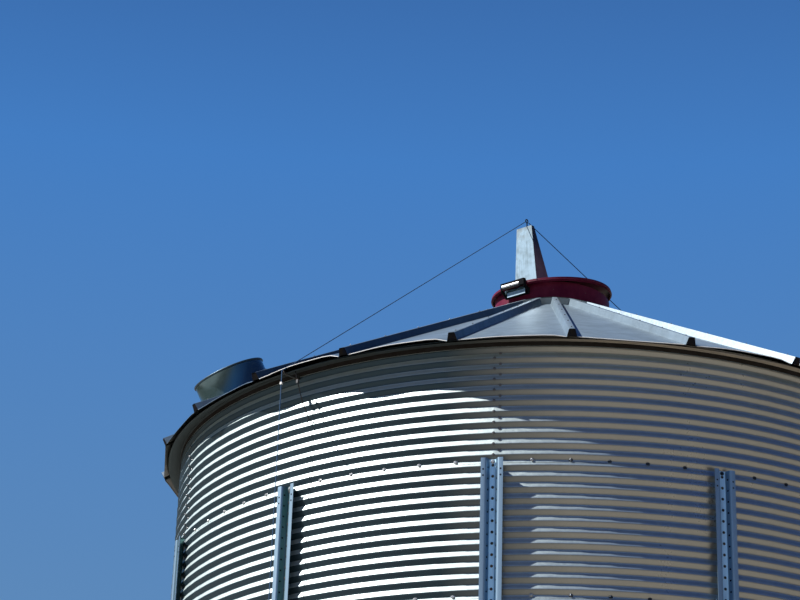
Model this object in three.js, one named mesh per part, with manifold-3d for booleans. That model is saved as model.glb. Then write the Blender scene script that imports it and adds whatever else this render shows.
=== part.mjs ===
// A galvanised grain silo: corrugated round wall with outside stiffeners, a ribbed cone roof,
// and a red fill collar whose hinged lid is worked by a lever and two cables.
// Millimetres, +Z up. The origin is the centre of the base at ground level.
// Azimuth runs from the front (-Y) towards +X, so a piece made at the front and turned by its
// azimuth about Z lands in its place.
import * as THREE from 'three';
import { mergeVertices } from 'three/addons/utils/BufferGeometryUtils.js';
import Module from 'manifold-3d';

const wasm = await Module();
wasm.setup();

const GAP = 0.3;

// Wall: eight rings of twelve corrugations, drawn as a plain shell as deep as the corrugation
const WALL_R = 2600;
const WALL_DEPTH = 14;
const CORRUGATION = 67.73;
const RING_HEIGHT = 12 * CORRUGATION;
const TOP_SEAM_Z = 7 * RING_HEIGHT;
const WALL_BAYS = 6;
const FACETS = 72;

// Stiffeners: flared channels with outward lips, bolted to the crests
const STIFFENERS = 12;
const STIFFENER_WIDTH = 131;
const STIFFENER_WEB = 36;
const STIFFENER_MOUTH = 74;
const STIFFENER_DEPTH = 43;
const STIFFENER_SHEET = 4;
const STIFFENER_TOP_Z = TOP_SEAM_Z + 2;

// Roof: flat panels between raised ribs, on a slope of 28 degrees along the ribs
const ROOF_RIBS = 24;
const FIRST_RIB_AZIMUTH = -5;
const ROOF_SLOPE = THREE.MathUtils.degToRad(28);
const EAVE_R = 2733;
const EAVE_Z = 6412;
const PEAK_R = 416;
const ROOF_SHEET = 6;
const RIB_BASE = 62;
const RIB_TOP = 38;
const RIB_HEIGHT = 45;
const RIB_STEP = 360 / ROOF_RIBS;
const HALF_PANEL = Math.cos(THREE.MathUtils.degToRad(RIB_STEP / 2));
const SHEET_DROP = ROOF_SHEET / Math.cos(ROOF_SLOPE);

// Angles: one under the wall's foot on the inside, one under the roof's edge on the outside, and
// a seat under the panels round the fill opening
const BASE_LEG = 60;
const BASE_SHEET = 6;
const EAVE_REACH = 84;
const EAVE_SKIRT = 54;
const EAVE_WEB = 5;
const EAVE_SHOULDER = 8;
const EAVE_CLEARANCE = 5;
const PEAK_SLEEVE_R = 410;
const PEAK_SEAT_R = 500;
const PEAK_SHEET = 8;
const PEAK_STEP = 7;

// Fill opening: a collar about 33 inches across, with the lid slightly raised at its far side
const COLLAR_R = 415;
const COLLAR_SHEET = 6;
const COLLAR_BASE_Z = 7694;
const COLLAR_TOP_Z = 7814;
const LEVER_AZIMUTH = -28;
const HINGE_R = 480;
const HINGE_Z = 7801;

// Lid: a flat sheet with a rolled rim and a short lip round the collar, above the hinge line, and
// set a little towards the hinge
const LID_R = 436;
const LID_RISE = 14;
const LID_SHEET = 4;
const LID_RIM = 22;
const LIP_R = 428;
const LIP_SHEET = 4;
const LID_DEPTH = 30;
const LID_SHIFT = { side: 12, out: 22 };
const LID_TILT = THREE.MathUtils.degToRad(5.6);

// Hinge: a plate on the collar with two ears that carry the pin, and the lid's leaf and knuckle
const EAR_SPAN = 206;
const EAR_SHEET = 6;
const EAR_CLEARANCE = 30;
const BRACKET_LOW_Z = 7728;
const BRACKET_TOP_Z = 7774;
const BRACKET_LIP = { depth: 18, sheet: 4 };
const PIN_R = 8;
const KNUCKLE_R = 12;
const KNUCKLE_LENGTH = 150;
const KNUCKLE_WEB = 6;
const LEAF_CLEARANCE = 3;

// Lever on the lid: a tapered channel with its open side to the lid's centre
const LEVER_R = 305;
const LEVER_SIDE = -10;
const LEVER_HEIGHT = 476;
const LEVER_FOOT = { width: 196, depth: 185 };
const LEVER_HEAD = { width: 132, depth: 32 };
const LEVER_SHEET = 5;
const LEVER_SET_BACK = 16;
const LEVER_FOOT_Z = LID_RISE + LID_SHEET + 2 * GAP;
const LEVER_TOP_Z = LEVER_FOOT_Z + LEVER_HEIGHT;
const EYE_SHEET = 8;
const EYE_R = 15;
const EYE_HOLE_R = 8;
const EYE_SIDE = 0;
const EYE_RISE = 52;
const EYE_SHANK = 80;

// Cables from the lever's eye, over a roller outside the eave and down to a cleat
const CABLE_R = 3;
const OPEN_CABLE = { azimuth: -29.65, rollerZ: 6396 };
const CLOSE_CABLE = { azimuth: 127.5, rollerZ: 6446 };
const ROLLER_R = 10;
const ROLLER_WIDTH = 10;
const ROLLER_AXIS_R = 2734;
const ROLLER_CLEARANCE = 2;
const ROLLER_PIN_R = 3;
const ARM_Z = 6390;
const ARM_SHEET = 6;
const ARM_END_R = 2718;
const FORK_SHEET = 3;
const FORK_DEPTH = 14;
const FORK_OVER_PIN = 6;
const TIE_BITE = 3;
const TIE_SHEET = 4.6;
const GUIDE_PLATE = { margin: 6, sheet: 5, height: 30, rise: 9 };
const BEND_R = ROLLER_R + CABLE_R + GAP;
const DROP_R = ROLLER_AXIS_R + BEND_R;
const CLEAT_Z = 1300;
const CLEAT_PLATE = { width: 100, sheet: 6, height: 70, drop: 20 };
const CLEAT_ARM = { width: 26, sheet: 12, past: 18 };
const CLEAT_HORN = { radius: 7, length: 110, past: 22 };

// Bent wire with a ring at its end, hanging from the eave angle
const HOOK_R = 3;
const HOOK_RING_R = 14;
const HOOK_RING = { azimuth: -24.5, radius: 2748, z: 6012 };
const HOOK_PATH = [[-28.6, 2679, 6408], [-27.9, 2690, 6330], [-26.4, 2714, 6170], [-25.2, 2735, 6080]];

// Round vent on the roof
const VENT_AZIMUTH = FIRST_RIB_AZIMUTH - 3.5 * RIB_STEP;
const VENT_DISTANCE = 2290;
const VENT_RADIUS = 243;
const VENT_RIM = 251;
const VENT_FLANGE = 268;
const VENT_HEIGHT = 240;
const VENT_SHEET = 5;
const VENT_LIP = 12;
const VENT_CROWN = { edge: 6, middle: 18 };

const galvanised = new THREE.MeshStandardMaterial({ color: 0xb4bcc2, roughness: 0.42, metalness: 0.85 });
const roofSheet = new THREE.MeshStandardMaterial({ color: 0xa9b2b6, roughness: 0.5, metalness: 0.8 });
const stiffenerSteel = new THREE.MeshStandardMaterial({ color: 0x8fa3b8, roughness: 0.5, metalness: 0.8 });
const redPaint = new THREE.MeshStandardMaterial({ color: 0x5a1420, roughness: 0.55, metalness: 0.1 });
const darkSteel = new THREE.MeshStandardMaterial({ color: 0x2c3234, roughness: 0.6, metalness: 0.6 });
const wireRope = new THREE.MeshStandardMaterial({ color: 0x55606c, roughness: 0.6, metalness: 0.7 });

const silo = new THREE.Group();

const radians = THREE.MathUtils.degToRad;

// Heights of the roof along a rib, and under the middle of a flat panel
const ribLineZ = (r) => EAVE_Z + (EAVE_R - r) * Math.tan(ROOF_SLOPE);
const panelTopZ = (distance) => ribLineZ(distance / HALF_PANEL);
const panelUnderZ = (distance) => panelTopZ(distance) - SHEET_DROP;
const WALL_TOP_Z = panelUnderZ(WALL_R * Math.cos(radians(180 / FACETS))) - GAP;

// A mesh at the front of the silo, turned to its azimuth
function place(name, geometry, material, azimuth = 0) {
  const mesh = new THREE.Mesh(geometry, material);
  mesh.name = name;
  const turned = new THREE.Group();
  turned.rotation.z = radians(azimuth);
  turned.add(mesh);
  silo.add(turned);
  return mesh;
}

// Geometry from points and triangles, turned right side out by its signed volume
function solid(points, triangles) {
  let volume = 0;
  for (const [a, b, c] of triangles) {
    volume += points[a].dot(new THREE.Vector3().crossVectors(points[b], points[c]));
  }
  const index = volume > 0 ? triangles : triangles.map(([a, b, c]) => [a, c, b]);
  const geometry = new THREE.BufferGeometry();
  geometry.setAttribute('position', new THREE.Float32BufferAttribute(points.flatMap((p) => p.toArray()), 3));
  geometry.setIndex(index.flat());
  return geometry;
}

// A ring about the Z axis from a closed outline of [radius, height] corners
function ring(outline, segments = FACETS) {
  const profile = [...outline, outline[0]].map(([r, z]) => new THREE.Vector2(r, z));
  const merged = mergedShape(new THREE.LatheGeometry(profile, segments).rotateX(Math.PI / 2));
  const at = merged.getAttribute('position');
  const points = Array.from({ length: at.count }, (_, i) => new THREE.Vector3().fromBufferAttribute(at, i));
  const index = merged.getIndex().array;
  const triangles = [];
  for (let i = 0; i < index.length; i += 3) {
    const corner = [index[i], index[i + 1], index[i + 2]];
    if (new Set(corner).size === 3) triangles.push(corner);
  }
  return solid(points, triangles);
}

function mergedShape(geometry) {
  const plain = geometry.clone();
  plain.deleteAttribute('normal');
  plain.deleteAttribute('uv');
  return mergeVertices(plain, 1e-3);
}

function toManifold(geometry) {
  const merged = mergedShape(geometry);
  const vertProperties = new Float32Array(merged.getAttribute('position').array);
  const triVerts = new Uint32Array(merged.getIndex().array);
  return new wasm.Manifold(new wasm.Mesh({ numProp: 3, vertProperties, triVerts }));
}

function fromManifold(body) {
  const { vertProperties, triVerts } = body.getMesh();
  const geometry = new THREE.BufferGeometry();
  geometry.setAttribute('position', new THREE.Float32BufferAttribute(vertProperties, 3));
  geometry.setIndex(Array.from(triVerts));
  return geometry;
}

// Point on an azimuth at a radius and height
function polar(azimuth, r, z) {
  const a = radians(azimuth);
  return new THREE.Vector3(r * Math.sin(a), -r * Math.cos(a), z);
}

const joined = (...parts) => fromManifold(parts.map(toManifold).reduce((whole, part) => whole.add(part)));

function box(width, depth, height, x, y, z) {
  return new THREE.BoxGeometry(width, depth, height).translate(x, y, z);
}

// A rod along X
function crossRod(radius, length, x, y, z, segments = 16) {
  return new THREE.CylinderGeometry(radius, radius, length, segments).rotateZ(Math.PI / 2).translate(x, y, z);
}

// A round tube through points, with its ends closed
function tube(path, radius, sides = 8) {
  const count = path.length;
  const points = [];
  const triangles = [];
  let across = null;
  path.forEach((centre, i) => {
    const along = path[Math.min(i + 1, count - 1)].clone().sub(path[Math.max(i - 1, 0)]).normalize();
    if (!across) across = new THREE.Vector3(along.y, -along.x, 0).normalize();
    across = across.addScaledVector(along, -across.dot(along)).normalize();
    const other = new THREE.Vector3().crossVectors(along, across);
    for (let k = 0; k < sides; k += 1) {
      const turn = (2 * Math.PI * k) / sides;
      points.push(centre.clone()
        .addScaledVector(across, radius * Math.cos(turn))
        .addScaledVector(other, radius * Math.sin(turn)));
    }
  });
  for (let i = 0; i + 1 < count; i += 1) {
    for (let k = 0; k < sides; k += 1) {
      const next = (k + 1) % sides;
      const [a, b, c, d] = [i * sides + k, i * sides + next, (i + 1) * sides + next, (i + 1) * sides + k];
      triangles.push([a, b, c], [a, c, d]);
    }
  }
  const end = (count - 1) * sides;
  for (let k = 1; k + 1 < sides; k += 1) triangles.push([0, k + 1, k], [end, end + k, end + k + 1]);
  return solid(points, triangles);
}

// The skin between two closed loops of the same number of points, with both ends filled
function loft(lower, upper) {
  const count = lower.length;
  const flat = lower.map((p) => new THREE.Vector2(p.x, p.y));
  const faces = THREE.ShapeUtils.triangulateShape(flat, []);
  const triangles = [];
  for (const [a, b, c] of faces) triangles.push([a, c, b], [a + count, b + count, c + count]);
  const turn = THREE.ShapeUtils.isClockWise(flat) ? -1 : 1;
  for (let i = 0; i < count; i += 1) {
    const j = (i + 1) % count;
    const sides = [[i, j, j + count], [i, j + count, i + count]];
    for (const [a, b, c] of sides) triangles.push(turn > 0 ? [a, b, c] : [a, c, b]);
  }
  return solid([...lower, ...upper], triangles);
}

function addWall() {
  const span = 360 / WALL_BAYS;
  const slack = THREE.MathUtils.radToDeg(GAP / 2 / WALL_R);
  for (let bay = 0; bay < WALL_BAYS; bay += 1) {
    const from = radians(slack - 90);
    const to = radians(span - slack - 90);
    const outline = new THREE.Shape();
    outline.absarc(0, 0, WALL_R, from, to, false);
    outline.absarc(0, 0, WALL_R - WALL_DEPTH, to, from, true);
    const shell = new THREE.ExtrudeGeometry(outline, {
      depth: WALL_TOP_Z,
      bevelEnabled: false,
      curveSegments: FACETS / WALL_BAYS / 2,
    });
    place(`wall_bay_${bay + 1}`, shell, galvanised, bay * span);
  }
}

function stiffenerOutline() {
  const t = STIFFENER_SHEET;
  const back = -(WALL_R + GAP);
  const front = back - STIFFENER_DEPTH;
  const half = STIFFENER_WIDTH / 2;
  const web = STIFFENER_WEB / 2;
  const mouth = STIFFENER_MOUTH / 2;
  const across = t * Math.hypot(1, (mouth - web) / STIFFENER_DEPTH);
  const right = [
    [web + across, back],
    [mouth + across, front + t],
    [half, front + t],
    [half, front],
    [mouth, front],
    [web, back - t],
  ];
  const left = right.map(([x, y]) => [-x, y]).reverse();
  return [...right, ...left].map(([x, y]) => new THREE.Vector2(x, y));
}

function addStiffeners() {
  const channel = new THREE.ExtrudeGeometry(new THREE.Shape(stiffenerOutline()), {
    depth: STIFFENER_TOP_Z,
    bevelEnabled: false,
  });
  for (let i = 0; i < STIFFENERS; i += 1) {
    place(`stiffener_${i + 1}`, channel, stiffenerSteel, (i * 360) / STIFFENERS);
  }
}

function addRings() {
  const inner = WALL_R - WALL_DEPTH - GAP;
  const base = [
    [inner - BASE_LEG, 0],
    [inner, 0],
    [inner, BASE_LEG],
    [inner - BASE_SHEET, BASE_LEG],
    [inner - BASE_SHEET, BASE_SHEET],
    [inner - BASE_LEG, BASE_SHEET],
  ];
  place('base_ring', ring(base), galvanised);

  const wall = WALL_R + GAP;
  const flange = WALL_R + EAVE_REACH;
  const topZ = panelUnderZ(wall) - EAVE_CLEARANCE;
  const lipZ = panelUnderZ(flange) - EAVE_CLEARANCE;
  const eave = [
    [wall, topZ - EAVE_SKIRT],
    [wall + EAVE_WEB, topZ - EAVE_SKIRT],
    [wall + EAVE_WEB, topZ - EAVE_SHOULDER],
    [flange, lipZ - EAVE_WEB],
    [flange, lipZ],
    [wall, topZ],
  ];
  place('eave_ring', ring(eave), galvanised);

  const sleeve = PEAK_SLEEVE_R - COLLAR_SHEET;
  const peak = [
    [sleeve, COLLAR_BASE_Z],
    [COLLAR_R, COLLAR_BASE_Z],
    [COLLAR_R, COLLAR_BASE_Z - PEAK_STEP],
    [PEAK_SLEEVE_R, COLLAR_BASE_Z - PEAK_STEP],
    [PEAK_SLEEVE_R, panelUnderZ(PEAK_SLEEVE_R) - GAP],
    [PEAK_SEAT_R, panelUnderZ(PEAK_SEAT_R) - GAP],
    [PEAK_SEAT_R, panelUnderZ(PEAK_SEAT_R) - PEAK_SHEET],
    [sleeve, panelUnderZ(sleeve) - PEAK_SHEET],
  ];
  place('peak_ring', ring(peak), galvanised);
}

// One point of the roof: on the rib line of an azimuth at radius r, moved sideways along the
// chord to the neighbouring rib, and raised square to the slope
function roofPoint(azimuth, r, side, raise) {
  const corner = (angle) => polar(angle, r, ribLineZ(r));
  const point = corner(azimuth);
  const chord = corner(azimuth + Math.sign(side || 1) * RIB_STEP).sub(point).normalize();
  const a = radians(azimuth);
  const normal = new THREE.Vector3(
    Math.sin(ROOF_SLOPE) * Math.sin(a),
    -Math.sin(ROOF_SLOPE) * Math.cos(a),
    Math.cos(ROOF_SLOPE),
  );
  return point.addScaledVector(chord, Math.abs(side)).addScaledVector(normal, raise);
}

// Two flat panels with the two ribs on their left edges
function roofPair(azimuth) {
  const base = RIB_BASE / 2;
  const top = RIB_TOP / 2;
  const edge = base + GAP;
  const stations = [];
  for (const rib of [azimuth, azimuth + RIB_STEP]) {
    stations.push([rib, -base, 0], [rib, -top, RIB_HEIGHT], [rib, top, RIB_HEIGHT], [rib, base, 0]);
  }
  stations.push([azimuth + 2 * RIB_STEP, -edge, 0]);
  const chain = (r, lift) => stations.map(([rib, side, raise]) => {
    const point = roofPoint(rib, r, side, lift ? raise : 0);
    if (!lift) point.z -= SHEET_DROP;
    return point;
  });
  const rows = [chain(EAVE_R, true), chain(PEAK_R, true), chain(PEAK_R, false), chain(EAVE_R, false)];
  const count = stations.length;
  const points = rows.flat();
  const triangles = [];
  for (let row = 0; row < rows.length; row += 1) {
    const next = (row + 1) % rows.length;
    for (let i = 0; i + 1 < count; i += 1) {
      const [a, b, c, d] = [row * count + i, row * count + i + 1, next * count + i + 1, next * count + i];
      triangles.push([a, b, c], [a, c, d]);
    }
  }
  const first = rows.map((_, row) => row * count);
  const last = rows.map((_, row) => row * count + count - 1);
  triangles.push([first[0], first[1], first[2]], [first[0], first[2], first[3]]);
  triangles.push([last[0], last[2], last[1]], [last[0], last[3], last[2]]);
  return solid(points, triangles);
}

function addRoof() {
  for (let i = 0; i < ROOF_RIBS / 2; i += 1) {
    place(`roof_panels_${i + 1}`, roofPair(FIRST_RIB_AZIMUTH + 2 * i * RIB_STEP), roofSheet);
  }
}

// Everything on the lid is made flat, with the hinge line as its origin, and then tipped
const tipped = new THREE.Matrix4()
  .makeTranslation(0, -HINGE_R, HINGE_Z)
  .multiply(new THREE.Matrix4().makeRotationX(LID_TILT));

function lidGeometry() {
  const top = LID_RISE + LID_SHEET;
  const profile = [
    [0, LID_RISE],
    [LIP_R - LIP_SHEET, LID_RISE],
    [LIP_R - LIP_SHEET, top - LID_DEPTH],
    [LIP_R, top - LID_DEPTH],
    [LIP_R, top - LID_RIM],
    [LID_R, top - LID_RIM],
    [LID_R, top],
    [0, top],
  ].map(([r, z]) => new THREE.Vector2(r, z));
  const disc = new THREE.LatheGeometry(profile, 48).rotateX(Math.PI / 2)
    .translate(LID_SHIFT.side, HINGE_R - LID_SHIFT.out, 0);
  const leafWidth = EAR_SPAN - 2 * (EAR_SHEET + LEAF_CLEARANCE);
  const leafEnd = HINGE_R - LID_SHIFT.out - LIP_R;
  const leafY = (leafEnd - KNUCKLE_R) / 2;
  const leaf = box(leafWidth, leafEnd + KNUCKLE_R, LID_SHEET, 0, leafY, top - LID_SHEET / 2);
  const web = box(KNUCKLE_LENGTH, KNUCKLE_WEB, LID_RISE, 0, 0, LID_RISE / 2);
  const knuckle = crossRod(KNUCKLE_R, KNUCKLE_LENGTH, 0, 0, 0, 24);
  const bore = crossRod(PIN_R + GAP, KNUCKLE_LENGTH + 2, 0, 0, 0, 24);
  const whole = [disc, leaf, web, knuckle].map(toManifold).reduce((sum, part) => sum.add(part));
  return fromManifold(whole.subtract(toManifold(bore)));
}

// Outer face of the lever's web, at a height above the lid
const leverWebY = (z) => HINGE_R - LEVER_R + (LEVER_SET_BACK * (z - LEVER_FOOT_Z)) / LEVER_HEIGHT;

function leverGeometry() {
  const t = LEVER_SHEET;
  const section = ({ width, depth }, z) => {
    const half = width / 2;
    const web = leverWebY(z);
    const corners = [
      [-half, web],
      [half, web],
      [half, web + depth],
      [half - t, web + depth],
      [half - t, web + t],
      [-half + t, web + t],
      [-half + t, web + depth],
      [-half, web + depth],
    ];
    return corners.map(([x, y]) => new THREE.Vector3(x, y, z));
  };
  const channel = loft(section(LEVER_FOOT, LEVER_FOOT_Z), section(LEVER_HEAD, LEVER_TOP_Z));
  return channel.translate(LEVER_SIDE, 0, 0);
}

// Flat bar with a round eye, standing on edge against the inside of the lever's web
const EYE_Z = LEVER_TOP_Z + EYE_RISE;
const EYE_Y = leverWebY(EYE_Z) + LEVER_SHEET + GAP + EYE_R;

function eyeGeometry() {
  const low = LEVER_TOP_Z - EYE_SHANK;
  const inner = (z) => leverWebY(z) + LEVER_SHEET + GAP;
  const outline = new THREE.Shape();
  outline.moveTo(inner(low), low);
  outline.lineTo(inner(low) + 2 * EYE_R, low);
  outline.lineTo(EYE_Y + EYE_R, EYE_Z);
  outline.absarc(EYE_Y, EYE_Z, EYE_R, 0, Math.PI, false);
  outline.closePath();
  const hole = new THREE.Path();
  hole.absarc(EYE_Y, EYE_Z, EYE_HOLE_R, 0, 2 * Math.PI, true);
  outline.holes.push(hole);
  const plate = new THREE.ExtrudeGeometry(outline, {
    depth: EYE_SHEET,
    bevelEnabled: false,
    curveSegments: 8,
  });
  // The shape's own axes are Y and Z of the lever, so it is turned to stand along X
  return plate.applyMatrix4(new THREE.Matrix4().makeBasis(
    new THREE.Vector3(0, 1, 0),
    new THREE.Vector3(0, 0, 1),
    new THREE.Vector3(1, 0, 0),
  )).translate(EYE_SIDE - EYE_SHEET / 2, 0, 0);
}

// Plate on the outside of the collar, with ears that reach round the lid's rim and carry the pin
function hingeGeometry() {
  const face = COLLAR_R + GAP;
  const height = BRACKET_TOP_Z - BRACKET_LOW_Z;
  const plate = box(EAR_SPAN, EAR_SHEET, height, 0, -(face + EAR_SHEET / 2), BRACKET_LOW_Z + height / 2);
  const { depth, sheet: lipSheet } = BRACKET_LIP;
  const lip = box(EAR_SPAN, depth, lipSheet, 0, -(face + depth / 2), BRACKET_LOW_Z + lipSheet / 2);
  const ear = new THREE.Shape([
    [face, BRACKET_LOW_Z],
    [HINGE_R + 6, HINGE_Z - 34],
    [HINGE_R + 12, HINGE_Z],
    [HINGE_R + 8, HINGE_Z + 14],
    [LID_R + EAR_CLEARANCE, HINGE_Z + 14],
    [LID_R + EAR_CLEARANCE, BRACKET_TOP_Z],
    [face, BRACKET_TOP_Z],
  ].map(([r, z]) => new THREE.Vector2(r, z)));
  const ears = [-EAR_SPAN / 2, EAR_SPAN / 2 - EAR_SHEET].map((x) => {
    const sheet = new THREE.ExtrudeGeometry(ear, { depth: EAR_SHEET, bevelEnabled: false });
    // The shape's own axes are radius and height, so it is turned to stand square to X
    return sheet.applyMatrix4(new THREE.Matrix4().makeBasis(
      new THREE.Vector3(0, -1, 0),
      new THREE.Vector3(0, 0, 1),
      new THREE.Vector3(-1, 0, 0),
    )).translate(x + EAR_SHEET, 0, 0);
  });
  const pin = crossRod(PIN_R, EAR_SPAN + PIN_R, 0, -HINGE_R, HINGE_Z, 24);
  return joined(plate, lip, ...ears, pin);
}

function addFillOpening() {
  const inner = COLLAR_R - COLLAR_SHEET;
  const base = COLLAR_BASE_Z + GAP;
  const collar = [[inner, base], [COLLAR_R, base], [COLLAR_R, COLLAR_TOP_Z], [inner, COLLAR_TOP_Z]];
  place('fill_collar', ring(collar), redPaint);
  place('lid_hinge', hingeGeometry(), darkSteel, LEVER_AZIMUTH);
  place('fill_lid', lidGeometry().applyMatrix4(tipped), redPaint, LEVER_AZIMUTH);
  place('lid_lever', leverGeometry().applyMatrix4(tipped), galvanised, LEVER_AZIMUTH);
  place('lever_eye', eyeGeometry().applyMatrix4(tipped), darkSteel, LEVER_AZIMUTH);
}

// Where a cable leaves the edge of the eye, and the upright plane that it runs in
function cableRun(azimuth) {
  const upright = new THREE.Matrix4().makeRotationZ(radians(LEVER_AZIMUTH)).multiply(tipped);
  const eye = new THREE.Vector3(EYE_SIDE, EYE_Y, EYE_Z).applyMatrix4(upright);
  const foot = polar(azimuth, DROP_R, 0);
  const heading = new THREE.Vector3(foot.x - eye.x, foot.y - eye.y, 0).normalize();
  return { eye, foot, heading };
}

// Straight from the eye to the roller, round it, and straight down to the cleat
function cableGeometry({ azimuth, rollerZ }) {
  const { eye, foot, heading } = cableRun(azimuth);
  const centre = foot.clone().addScaledVector(heading, -BEND_R).setZ(rollerZ);
  const run = new THREE.Vector2(centre.clone().sub(eye).dot(heading), eye.z - centre.z);
  const dip = Math.atan2(run.y, run.x) + Math.asin(BEND_R / run.length());
  const at = (angle) => centre.clone()
    .addScaledVector(heading, BEND_R * Math.cos(angle))
    .setZ(centre.z + BEND_R * Math.sin(angle));
  const touch = Math.PI / 2 - dip;
  const first = at(touch);
  const slope = first.clone().sub(eye).normalize();
  const level = Math.hypot(slope.x, slope.y);
  const start = (EYE_R + CABLE_R * Math.abs(slope.z)) / level + 2 * GAP;
  const bend = [4, 3, 2, 1, 0].map((step) => at((touch * step) / 4));
  const end = foot.clone().setZ(CLEAT_Z + GAP);
  return tube([eye.clone().addScaledVector(slope, start), ...bend, end], CABLE_R);
}

// Arm bolted to the eave angle, with a fork and a small fixed roller outside the edge of the roof
function guideGeometry({ azimuth, rollerZ }) {
  const { foot, heading } = cableRun(azimuth);
  const { margin, sheet, height, rise } = GUIDE_PLATE;
  const width = ROLLER_WIDTH + 2 * (ROLLER_CLEARANCE + FORK_SHEET);
  const inner = WALL_R + 2 * GAP + EAVE_WEB;
  const plate = box(width + 2 * margin, sheet, height, 0, -(inner + sheet / 2), ARM_Z + rise);
  const arm = box(width, ARM_END_R - inner, ARM_SHEET, 0, -(inner + ARM_END_R) / 2, ARM_Z);
  const forkTop = rollerZ + FORK_OVER_PIN;
  const forkFoot = ARM_Z - ARM_SHEET / 2;
  const side = (width - FORK_SHEET) / 2;
  const middle = (forkTop + forkFoot) / 2 - rollerZ;
  const cheeks = [-side, side].map((x) => box(FORK_SHEET, FORK_DEPTH, forkTop - forkFoot, x, 0, middle));
  const tieStart = FORK_DEPTH / 2 - TIE_BITE;
  const tieEnd = ROLLER_AXIS_R - ARM_END_R + TIE_BITE;
  const tie = box(width, tieEnd - tieStart, TIE_SHEET, 0, (tieStart + tieEnd) / 2, ARM_Z - rollerZ);
  const pin = crossRod(ROLLER_PIN_R, width + 2 * ROLLER_PIN_R, 0, 0, 0);
  const roller = crossRod(ROLLER_R, ROLLER_WIDTH, 0, 0, 0, 24);
  const turn = Math.atan2(heading.x, -heading.y);
  const centre = foot.clone().addScaledVector(heading, -BEND_R).setZ(rollerZ);
  const base = [plate, arm].map((part) => part.rotateZ(radians(azimuth)));
  const fork = [...cheeks, tie, pin, roller].map((part) => part.rotateZ(turn));
  return joined(...base, ...fork.map((part) => part.translate(centre.x, centre.y, centre.z)));
}

// Plate, arm and horn that the cable's lower end is made off to
function cleatGeometry({ azimuth }, faceAzimuth, faceDistance) {
  const foot = cableRun(azimuth).foot.applyAxisAngle(new THREE.Vector3(0, 0, 1), -radians(faceAzimuth));
  const face = faceDistance + GAP;
  const armStart = face + CLEAT_PLATE.sheet / 2;
  const armEnd = CLEAT_ARM.past - foot.y;
  const armZ = CLEAT_Z - CLEAT_ARM.sheet / 2;
  const { width, sheet, height, drop } = CLEAT_PLATE;
  const plate = box(width, sheet, height, 0, -armStart, CLEAT_Z - drop);
  const armY = -(armEnd + armStart) / 2;
  const arm = box(CLEAT_ARM.width, armEnd - armStart, CLEAT_ARM.sheet, foot.x, armY, armZ);
  const horn = crossRod(CLEAT_HORN.radius, CLEAT_HORN.length, foot.x, foot.y + CLEAT_HORN.past, armZ);
  return joined(plate, arm, horn);
}

function hookGeometry() {
  const ringCentre = polar(HOOK_RING.azimuth, HOOK_RING.radius, HOOK_RING.z);
  const end = ringCentre.clone().add(new THREE.Vector3(-4, 0, HOOK_RING_R));
  const path = [...HOOK_PATH.map((point) => polar(...point)), end];
  const wire = new THREE.CatmullRomCurve3(path).getPoints(14);
  const loop = new THREE.TorusGeometry(HOOK_RING_R, HOOK_R, 8, 20).rotateX(Math.PI / 2);
  loop.rotateZ(radians(HOOK_RING.azimuth)).translate(ringCentre.x, ringCentre.y, ringCentre.z);
  return joined(tube(wire, HOOK_R), loop);
}

function addCables() {
  place('open_cable', cableGeometry(OPEN_CABLE), wireRope);
  place('close_cable', cableGeometry(CLOSE_CABLE), wireRope);
  place('open_cable_guide', guideGeometry(OPEN_CABLE), darkSteel);
  place('close_cable_guide', guideGeometry(CLOSE_CABLE), darkSteel);
  const lips = WALL_R + GAP + STIFFENER_DEPTH;
  const wallFacet = WALL_R * Math.cos(radians(180 / FACETS));
  place('open_cable_cleat', cleatGeometry(OPEN_CABLE, -30, lips), darkSteel, -30);
  const { azimuth } = CLOSE_CABLE;
  place('close_cable_cleat', cleatGeometry(CLOSE_CABLE, azimuth, wallFacet), darkSteel, azimuth);
  place('eave_hook', hookGeometry(), darkSteel);
}

function addVent() {
  const tilt = Math.atan(Math.tan(ROOF_SLOPE) / HALF_PANEL);
  const seat = new THREE.Matrix4()
    .makeTranslation(0, -VENT_DISTANCE, panelTopZ(VENT_DISTANCE))
    .multiply(new THREE.Matrix4().makeRotationX(tilt));
  const inner = VENT_RADIUS - VENT_SHEET;
  const body = [
    [inner, GAP],
    [VENT_FLANGE, GAP],
    [VENT_FLANGE, VENT_SHEET],
    [VENT_RADIUS, VENT_SHEET],
    [VENT_RADIUS, VENT_HEIGHT],
    [inner, VENT_HEIGHT],
  ];
  place('vent_body', ring(body, 48).applyMatrix4(seat), galvanised, VENT_AZIMUTH);
  const lid = [
    [0, VENT_HEIGHT + GAP],
    [VENT_RIM - VENT_SHEET, VENT_HEIGHT + GAP],
    [VENT_RIM - VENT_SHEET, VENT_HEIGHT - VENT_LIP],
    [VENT_RIM, VENT_HEIGHT - VENT_LIP],
    [VENT_RIM, VENT_HEIGHT + VENT_CROWN.edge],
    [0, VENT_HEIGHT + VENT_CROWN.middle],
  ];
  place('vent_cap', ring(lid, 48).applyMatrix4(seat), galvanised, VENT_AZIMUTH);
}

addWall();
addStiffeners();
addRings();
addRoof();
addFillOpening();
addCables();
addVent();

export default silo;
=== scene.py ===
"""Looks of a galvanised grain silo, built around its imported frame.

Metres, +Z up, with the origin at the centre of the base. Azimuth runs from the front (-Y)
towards +X, in degrees.
"""
import math
import random

import bpy
from mathutils import Matrix, Vector, noise


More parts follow.
